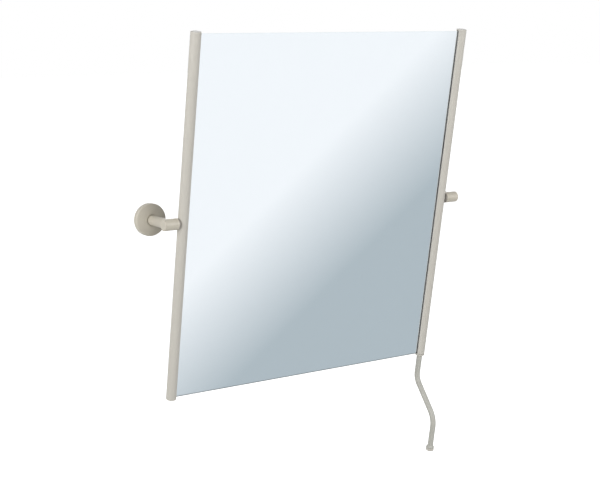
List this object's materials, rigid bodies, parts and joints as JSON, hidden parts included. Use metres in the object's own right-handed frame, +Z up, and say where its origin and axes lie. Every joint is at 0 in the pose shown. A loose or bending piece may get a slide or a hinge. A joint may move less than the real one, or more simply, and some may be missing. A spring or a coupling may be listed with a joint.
{
  "type": "pivot wall mirror",
  "caption": "Frameless mirror held in two round slotted rails that tilts between wall brackets, with a cranked handle at one lower corner.",
  "frame": {"origin": "on the wall, at the pivot's height, midway between the two wall plates", "axes": "+X to the right as seen from the front, +Y into the wall, +Z up"},
  "size_m": [0.73, 0.1481, 0.9064],
  "materials": {
    "paint": "warm light grey powder coat, satin",
    "mirror": "silvered float glass with ground edges",
    "film": "safety film on the back of the glass",
    "gasket": "matt",
    "washer": "matt",
    "steel": "bright zinc plated",
    "plate": "zinc plated"
  },
  "bodies": {
    "brackets": {"left_bush": "paint", "right_bush": "paint", "left_stub": "paint", "right_stub": "paint", "left_stub_cap": "paint", "right_stub_cap": "paint", "left_post": "paint", "right_post": "paint", "left_collar": "paint", "right_collar": "paint", "left_spigot": "plate", "right_spigot": "plate", "grub_screws": "steel", "left_wall_plate": "plate", "right_wall_plate": "plate", "left_rosette": "paint", "right_rosette": "paint"},
    "mirror": {"mirror_glass": "mirror", "safety_film": "film", "left_rail": "paint", "right_rail": "paint", "left_gasket": "gasket", "right_gasket": "gasket", "cap_top_left": "paint", "cap_top_right": "paint", "cap_bottom_left": "paint", "cap_bottom_right": "paint", "handle_insert": "steel", "handle_rod": "paint", "handle_foot": "paint", "left_pivot_block": "steel", "right_pivot_block": "steel", "left_spacer": "steel", "right_spacer": "steel", "left_friction_washer": "washer", "right_friction_washer": "washer", "left_pivot_bolt": "steel", "right_pivot_bolt": "steel", "disc_springs": "steel", "thrust_washers": "steel"}
  },
  "joints": [
    {"name": "tilt", "type": "hinge", "parent": "brackets", "child": "mirror", "pos_m": [0, -0.08, 0], "axis": [1, 0, 0], "range_deg": [-20, 1]}
  ]
}
